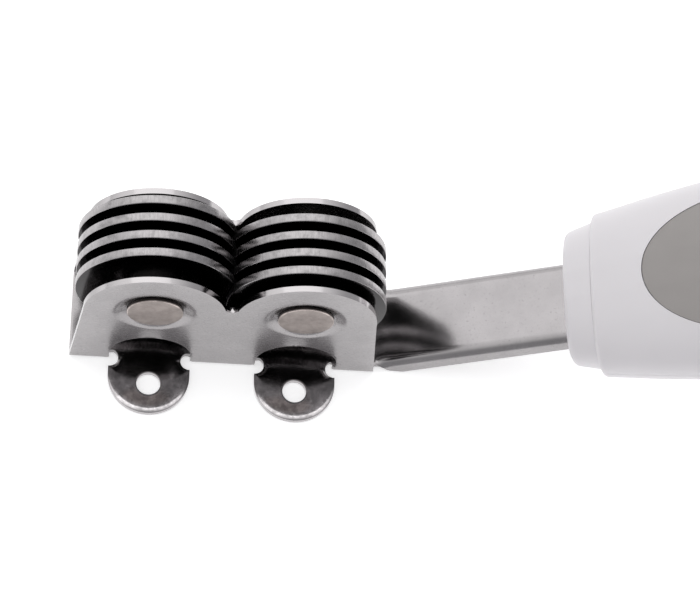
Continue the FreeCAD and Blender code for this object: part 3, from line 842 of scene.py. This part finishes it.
def ground_tool_steel(name, base, centre):
    """Hardened steel disc: its rim ground bright across, its faces turned and smooth, and painted nearly
    black as the shade between the stacked discs.
    """
    made, tree, shader = start_finish(name, Metallic=1.0)
    solid = add(tree, "ShaderNodeTexCoord").outputs["Object"]
    across = add(tree, "ShaderNodeMapping", {"Vector": solid, "Scale": (1.0, 0.12, 1.0)}).outputs[0]
    # The marks of a fine grinding wheel are finer than this. They are drawn as coarse as it takes to show.
    lines = add(tree, "ShaderNodeTexNoise", {
        "Vector": across, "Scale": per_mm(0.22), "Detail": 3.0, "Roughness": 0.65}).outputs[0]
    blots = add(tree, "ShaderNodeTexNoise", {
        "Vector": solid, "Scale": per_mm(1.3), "Detail": 4.0, "Roughness": 0.65}).outputs[0]
    centred = add(tree, "ShaderNodeMapping", {
        "Vector": solid, "Location": (-centre.x, 0.0, -centre.z), "Scale": (1.0, 0.0, 1.0)}).outputs[0]
    away = add(tree, "ShaderNodeVectorMath", {0: centred}, operation="LENGTH").outputs["Value"]
    turning = add(tree, "ShaderNodeTexNoise", {"W": away, "Scale": per_mm(0.25), "Detail": 2.0},
                  noise_dimensions="1D").outputs[0]
    normal = add(tree, "ShaderNodeNewGeometry").outputs["Normal"]
    facing = add(tree, "ShaderNodeSeparateXYZ", {0: normal}).outputs["Y"]
    on_side = add(tree, "ShaderNodeMath", {0: facing}, operation="ABSOLUTE").outputs[0]
    texture = add(tree, "ShaderNodeMix", {0: on_side, 2: lines, 3: turning}).outputs[0]
    wear = add(tree, "ShaderNodeMapRange", {0: blots, 1: 0.48, 2: 0.7, 3: 0.0, 4: 0.7}).outputs[0]
    steel = add(tree, "ShaderNodeMix", {
        0: add(tree, "ShaderNodeMapRange", {0: texture, 1: 0.35, 2: 0.65}).outputs[0],
        6: tone(base, 0.86), 7: tone(base, 1.06)}, data_type="RGBA").outputs[2]
    stained = add(tree, "ShaderNodeMix", {
        0: wear, 6: steel, 7: tone(base, 0.5)}, data_type="RGBA").outputs[2]
    side = add(tree, "ShaderNodeMapRange", {0: on_side, 1: 0.8, 2: 0.98}).outputs[0]
    # Painted shade: the side faces get a near-black colour for the shade between the stacked discs.
    faces_painted_dark = add(tree, "ShaderNodeMix", {
        0: side, 6: stained, 7: tone(linear("#3A3839"), 1.0)}, data_type="RGBA").outputs[2]
    tree.links.new(faces_painted_dark, shader.inputs["Base Color"])
    rim_gloss = add(tree, "ShaderNodeMapRange", {0: texture, 1: 0.3, 2: 0.7, 3: 0.34, 4: 0.2}).outputs[0]
    gloss = add(tree, "ShaderNodeMix", {0: side, 2: rim_gloss, 3: 0.16}).outputs[0]
    tree.links.new(gloss, shader.inputs["Roughness"])
    bump = add(tree, "ShaderNodeBump", {
        "Strength": 0.4, "Distance": 0.015 * MM, "Height": texture}).outputs[0]
    tree.links.new(bump, shader.inputs["Normal"])
    return made


def hammered_rivet_wire(base):
    """Steel wire upset into a head: a dull mottled face, a rim rubbed bright where the tool rolled over it
    and lightened further as a painted highlight, and a side and underside painted dark as the shade in the
    pressed seat."""
    made, tree, shader = start_finish("hammered_rivet_wire", Metallic=1.0)
    solid = add(tree, "ShaderNodeTexCoord").outputs["Object"]
    patches = add(tree, "ShaderNodeTexNoise", {
        "Vector": solid, "Scale": per_mm(2.4), "Detail": 5.0, "Roughness": 0.6}).outputs[0]
    specks = add(tree, "ShaderNodeTexNoise", {
        "Vector": solid, "Scale": per_mm(0.4), "Detail": 2.0, "Roughness": 0.6}).outputs[0]
    rim = add(tree, "ShaderNodeAttribute", attribute_name="rim").outputs["Fac"]
    broken = add(tree, "ShaderNodeMapRange", {0: patches, 1: 0.42, 2: 0.6, 3: 0.1, 4: 1.0}).outputs[0]
    bright = add(tree, "ShaderNodeMath", {0: rim, 1: broken}, operation="MULTIPLY", use_clamp=True).outputs[0]
    painted_shade_side = add(tree, "ShaderNodeMath", {0: rim, 1: -1.0}, operation="MULTIPLY", use_clamp=True).outputs[0]
    dull = add(tree, "ShaderNodeMix", {
        0: add(tree, "ShaderNodeMapRange", {0: patches, 1: 0.35, 2: 0.65}).outputs[0],
        6: tone(base, 0.74), 7: tone(base, 1.1)}, data_type="RGBA").outputs[2]
    # Painted highlight: the broken rim is lightened to 1.5 times the base.
    colours = add(tree, "ShaderNodeMix", {
        0: bright, 6: dull, 7: tone(base, 1.5)}, data_type="RGBA").outputs[2]
    # Painted shade: the side and underside are darkened to a fifth of the base.
    colours = add(tree, "ShaderNodeMix", {
        0: painted_shade_side, 6: colours, 7: tone(base, 0.2)}, data_type="RGBA").outputs[2]
    tree.links.new(colours, shader.inputs["Base Color"])
    gloss = add(tree, "ShaderNodeMapRange", {0: bright, 1: 0.0, 2: 1.0, 3: 0.45, 4: 0.22}).outputs[0]
    tree.links.new(gloss, shader.inputs["Roughness"])
    relief = add(tree, "ShaderNodeMath", {0: patches, 1: specks}, operation="ADD").outputs[0]
    bump = add(tree, "ShaderNodeBump", {"Strength": 0.6, "Distance": 0.06 * MM, "Height": relief}).outputs[0]
    tree.links.new(bump, shader.inputs["Normal"])
    return made


def turned_steel(base):
    """Plain steel rings cut from tube: dark, with fine lines round them."""
    made, tree, shader = start_finish("turned_steel", Metallic=1.0)
    solid = add(tree, "ShaderNodeTexCoord").outputs["Object"]
    round_lines = add(tree, "ShaderNodeMapping", {"Vector": solid, "Scale": (0.1, 1.0, 0.1)}).outputs[0]
    # Coarser than real turning marks, so that they show.
    lines = add(tree, "ShaderNodeTexNoise", {
        "Vector": round_lines, "Scale": per_mm(0.2), "Detail": 2.0, "Roughness": 0.5}).outputs[0]
    colours = add(tree, "ShaderNodeMix", {
        0: lines, 6: tone(base, 0.8), 7: tone(base, 1.2)}, data_type="RGBA").outputs[2]
    tree.links.new(colours, shader.inputs["Base Color"])
    gloss = add(tree, "ShaderNodeMapRange", {0: lines, 1: 0.3, 2: 0.7, 3: 0.3, 4: 0.5}).outputs[0]
    tree.links.new(gloss, shader.inputs["Roughness"])
    return made


def moulded_polypropylene(base):
    """White polypropylene from a fine-sparked mould: a soft sheen and the faintest grain."""
    made, tree, shader = start_finish("moulded_polypropylene", IOR=1.49, Subsurface_Weight=0.08)
    shader.inputs["Subsurface Radius"].default_value = (1.0, 0.9, 0.8)
    shader.inputs["Subsurface Scale"].default_value = 0.8 * MM
    solid = add(tree, "ShaderNodeTexCoord").outputs["Object"]
    # A fine-sparked mould leaves a grain of about 0.05 mm. It is drawn coarser, so that it shows.
    spark = add(tree, "ShaderNodeTexNoise", {
        "Vector": solid, "Scale": per_mm(0.28), "Detail": 3.0, "Roughness": 0.6}).outputs[0]
    flow = add(tree, "ShaderNodeTexNoise", {
        "Vector": solid, "Scale": per_mm(14.0), "Detail": 2.0, "Roughness": 0.5}).outputs[0]
    colours = add(tree, "ShaderNodeMix", {
        0: flow, 6: tone(base, 0.965), 7: tone(base, 1.02)}, data_type="RGBA").outputs[2]
    tree.links.new(colours, shader.inputs["Base Color"])
    gloss = add(tree, "ShaderNodeMapRange", {0: spark, 1: 0.3, 2: 0.7, 3: 0.36, 4: 0.46}).outputs[0]
    tree.links.new(gloss, shader.inputs["Roughness"])
    bump = add(tree, "ShaderNodeBump", {"Strength": 0.2, "Distance": 0.02 * MM, "Height": spark}).outputs[0]
    tree.links.new(bump, shader.inputs["Normal"])
    return made


def soft_elastomer(base):
    """Grey thermoplastic elastomer, moulded matt so that it grips: hardly any gloss, a fine pebbled grain."""
    made, tree, shader = start_finish("soft_elastomer", IOR=1.5, Specular_IOR_Level=0.4, Sheen_Weight=0.05)
    solid = add(tree, "ShaderNodeTexCoord").outputs["Object"]
    pebbles = add(tree, "ShaderNodeTexNoise", {
        "Vector": solid, "Scale": per_mm(0.35), "Detail": 3.0, "Roughness": 0.6}).outputs[0]
    haze = add(tree, "ShaderNodeTexNoise", {
        "Vector": solid, "Scale": per_mm(6.0), "Detail": 2.0, "Roughness": 0.5}).outputs[0]
    colours = add(tree, "ShaderNodeMix", {
        0: haze, 6: tone(base, 0.95), 7: tone(base, 1.05)}, data_type="RGBA").outputs[2]
    tree.links.new(colours, shader.inputs["Base Color"])
    gloss = add(tree, "ShaderNodeMapRange", {0: pebbles, 1: 0.3, 2: 0.7, 3: 0.58, 4: 0.7}).outputs[0]
    tree.links.new(gloss, shader.inputs["Roughness"])
    bump = add(tree, "ShaderNodeBump", {
        "Strength": 0.35, "Distance": 0.03 * MM, "Height": pebbles}).outputs[0]
    tree.links.new(bump, shader.inputs["Normal"])
    return made


def zinc_plated_steel(base):
    """Zinc-plated screws: a cool, slightly cloudy plating."""
    made, tree, shader = start_finish("zinc_plated_steel", Metallic=1.0)
    solid = add(tree, "ShaderNodeTexCoord").outputs["Object"]
    cloud = add(tree, "ShaderNodeTexNoise", {
        "Vector": solid, "Scale": per_mm(0.8), "Detail": 3.0, "Roughness": 0.6}).outputs[0]
    colours = add(tree, "ShaderNodeMix", {
        0: cloud, 6: tone(base, 0.85), 7: tone(base, 1.1)}, data_type="RGBA").outputs[2]
    tree.links.new(colours, shader.inputs["Base Color"])
    gloss = add(tree, "ShaderNodeMapRange", {0: cloud, 1: 0.3, 2: 0.7, 3: 0.24, 4: 0.38}).outputs[0]
    tree.links.new(gloss, shader.inputs["Roughness"])
    return made


def matt_paper(base):
    """Seamless matt white background paper, lit a little from under it, with its pulp's slight unevenness."""
    made, tree, shader = start_finish(
        "matt_paper", Specular_IOR_Level=0.1, Roughness=0.9, Emission_Strength=0.56)
    shader.inputs["Emission Color"].default_value = tone(base, 1.0)
    solid = add(tree, "ShaderNodeTexCoord").outputs["Object"]
    pulp = add(tree, "ShaderNodeTexNoise", {
        "Vector": solid, "Scale": per_mm(40.0), "Detail": 2.0, "Roughness": 0.5}).outputs[0]
    colours = add(tree, "ShaderNodeMix", {
        0: pulp, 6: tone(base, 0.99), 7: tone(base, 1.0)}, data_type="RGBA").outputs[2]
    tree.links.new(colours, shader.inputs["Base Color"])
    return made


def refinish(node, finish):
    """Gives a node that keeps its own shape a finished material."""
    carried = frame["nodes"][node]
    for slot in carried.material_slots:
        slot.material = finish


# ------------------------------------------------------------------ stage

FLOOR_HALF = 3.0
# The way to the glow's middle, and how bright it is there, where white paper is 1.
GLOW_FROM = Vector((-0.35, 0.6, 0.7))
GLOW = 1.25
SOFT_BOX = {"watts": 1.5, "side": 1.2, "place": (-0.2, 0.6, 1.1), "aim": (0.05, 0.0, 0.0)}
# A long lens, held above the head's near side and looking down at it.
CAMERA_AT = (-0.024233, -0.175163, 0.368767)
CAMERA_RIGHT = Vector((0.99206, 0.00385, 0.12538))
CAMERA_UP = Vector((-0.05826, 0.89947, 0.43304))
CAMERA_LENS = 123.87


def soft_box(name, watts, side, place, aim):
    """A square soft light that looks at a spot."""
    light = bpy.data.lights.new(name, "AREA")
    light.energy = watts
    light.size = side
    held = collection_object(name, light)
    held.location = place
    held.rotation_euler = (Vector(aim) - Vector(place)).to_track_quat("-Z", "Y").to_euler()


def look_through_camera():
    """The camera: its place and its three directions, in the object's own frame."""
    lens = bpy.data.cameras.new("camera")
    lens.sensor_width = 36.0
    lens.lens = CAMERA_LENS
    lens.clip_end = 20.0
    held = collection_object("camera", lens)
    right = CAMERA_RIGHT.normalized()
    back = right.cross(CAMERA_UP).normalized()
    turned = Matrix((right, back.cross(right), back)).transposed().to_4x4()
    held.matrix_world = Matrix.Translation(CAMERA_AT) @ turned
    bpy.context.scene.camera = held


def pale_floor(finish):
    """A wide plain floor under the object."""
    mesh = bpy.data.meshes.new("floor")
    corners = [(x * FLOOR_HALF, y * FLOOR_HALF, 0) for x, y in ((-1, -1), (1, -1), (1, 1), (-1, 1))]
    mesh.from_pydata(corners, [], [(0, 1, 2, 3)])
    mesh.materials.append(finish)
    collection_object("floor", mesh)


def pale_surroundings():
    """An even pale room with one broad soft glow, up behind the head and towards its free end."""
    world = bpy.data.worlds.new("room")
    world.use_nodes = True
    tree = world.node_tree
    way = add(tree, "ShaderNodeTexCoord").outputs["Generated"]
    facing = add(tree, "ShaderNodeVectorMath", {
        0: way, 1: GLOW_FROM.normalized()}, operation="DOT_PRODUCT").outputs["Value"]
    glow = add(tree, "ShaderNodeMapRange", {
        0: facing, 1: 0.2, 2: 1.0}, interpolation_type="SMOOTHSTEP").outputs[0]
    shades = add(tree, "ShaderNodeMix", {
        0: glow, 6: tone(linear("#B6B6B8"), 1.0), 7: (*[GLOW] * 3, 1.0)}, data_type="RGBA").outputs[2]
    tree.links.new(shades, tree.nodes["Background"].inputs["Color"])
    bpy.context.scene.world = world


# ------------------------------------------------------------------ operators and panel

class SHARPENER_OT_stage(bpy.types.Operator):
    """Adds the floor, the lights and the camera"""
    bl_idname = "sharpener.stage"
    bl_label = "Stage"

    def execute(self, context):
        pale_floor(matt_paper(context.scene.sharpener_colours.floor))
        pale_surroundings()
        soft_box("overhead soft box", **SOFT_BOX)
        look_through_camera()
        context.scene.view_settings.view_transform = "Standard"
        return {"FINISHED"}


class SHARPENER_OT_bracket(bpy.types.Operator):
    """Folds the head, feet, neck and tang from one sheet"""
    bl_idname = "sharpener.bracket"
    bl_label = "Bracket"

    def execute(self, context):
        sheet = folded_sheet(context.scene.sharpener_sheet)
        sheet.data.materials.append(rolled_stainless_sheet(context.scene.sharpener_colours.sheet))
        hand_in(sheet, "satin_stainless", "frame", "bracket")
        return {"FINISHED"}


class SHARPENER_OT_discs(bpy.types.Operator):
    """Makes the eight ground discs, each on its own body"""
    bl_idname = "sharpener.discs"
    bl_label = "Discs"

    def execute(self, context):
        tree = disc_tree()
        for side in ("left", "right"):
            nodes = sorted(n for n in HINGES if n.startswith("disc_" + side))
            colour_now = context.scene.sharpener_colours.disc
            finish = ground_tool_steel("ground_tool_steel_" + side, colour_now, HINGES[nodes[0]])
            for node in nodes:
                ground_disc(node, tree, context.scene.sharpener_disc, finish)
        return {"FINISHED"}


class SHARPENER_OT_axles(bpy.types.Operator):
    """Makes the two axles with their hammered heads"""
    bl_idname = "sharpener.axles"
    bl_label = "Axles"

    def execute(self, context):
        finish = hammered_rivet_wire(context.scene.sharpener_colours.rivet)
        for node in ("axle_left", "axle_right"):
            riveted_axle(node, context.scene.sharpener_rivet, finish)
        return {"FINISHED"}


class SHARPENER_OT_rings(bpy.types.Operator):
    """Finishes the rings between the discs"""
    bl_idname = "sharpener.rings"
    bl_label = "Rings"

    def execute(self, context):
        finish = turned_steel(context.scene.sharpener_colours.ring)
        for node in RING_NODES:
            refinish(node, finish)
        return {"FINISHED"}


class SHARPENER_OT_handle(bpy.types.Operator):
    """Finishes the handle's shells and its collar"""
    bl_idname = "sharpener.handle"
    bl_label = "Handle"

    def execute(self, context):
        finish = moulded_polypropylene(context.scene.sharpener_colours.shell)
        for node in SHELL_NODES:
            refinish(node, finish)
        return {"FINISHED"}


class SHARPENER_OT_inlay(bpy.types.Operator):
    """Finishes the soft inlay in the handle's top"""
    bl_idname = "sharpener.inlay"
    bl_label = "Inlay"

    def execute(self, context):
        refinish("grip_inlay", soft_elastomer(context.scene.sharpener_colours.inlay))
        return {"FINISHED"}


class SHARPENER_OT_screws(bpy.types.Operator):
    """Finishes the two screws under the handle"""
    bl_idname = "sharpener.screws"
    bl_label = "Screws"

    def execute(self, context):
        refinish("handle_screws", zinc_plated_steel(context.scene.sharpener_colours.sheet))
        return {"FINISHED"}


STEPS = (
    SHARPENER_OT_bracket, SHARPENER_OT_discs, SHARPENER_OT_axles, SHARPENER_OT_rings,
    SHARPENER_OT_handle, SHARPENER_OT_inlay, SHARPENER_OT_screws, SHARPENER_OT_stage)


class SHARPENER_PT_pieces(bpy.types.Panel):
    """Lists the pieces and their sizes"""
    bl_label = "Knife Sharpener"
    bl_idname = "SHARPENER_PT_pieces"
    bl_space_type = "VIEW_3D"
    bl_region_type = "UI"
    bl_category = "Sharpener"

    def draw(self, context):
        for step in STEPS:
            self.layout.operator(step.bl_idname)
        for group in ("sharpener_sheet", "sharpener_disc", "sharpener_rivet", "sharpener_colours"):
            box = self.layout.box()
            held = getattr(context.scene, group)
            for name in held.__annotations__:
                box.prop(held, name)


GROUPS = {
    "sharpener_sheet": SheetSizes,
    "sharpener_disc": DiscSizes,
    "sharpener_rivet": RivetSizes,
    "sharpener_colours": FinishColours,
}


def register():
    for kind in (*GROUPS.values(), *STEPS, SHARPENER_PT_pieces):
        bpy.utils.register_class(kind)
    for name, kind in GROUPS.items():
        setattr(bpy.types.Scene, name, PointerProperty(type=kind))


def unregister():
    for name in GROUPS:
        delattr(bpy.types.Scene, name)
    for kind in (SHARPENER_PT_pieces, *reversed(STEPS), *GROUPS.values()):
        bpy.utils.unregister_class(kind)


def main():
    register()
    for step in STEPS:
        group, name = step.bl_idname.split(".")
        getattr(getattr(bpy.ops, group), name)()


if __name__ == "__main__":
    main()
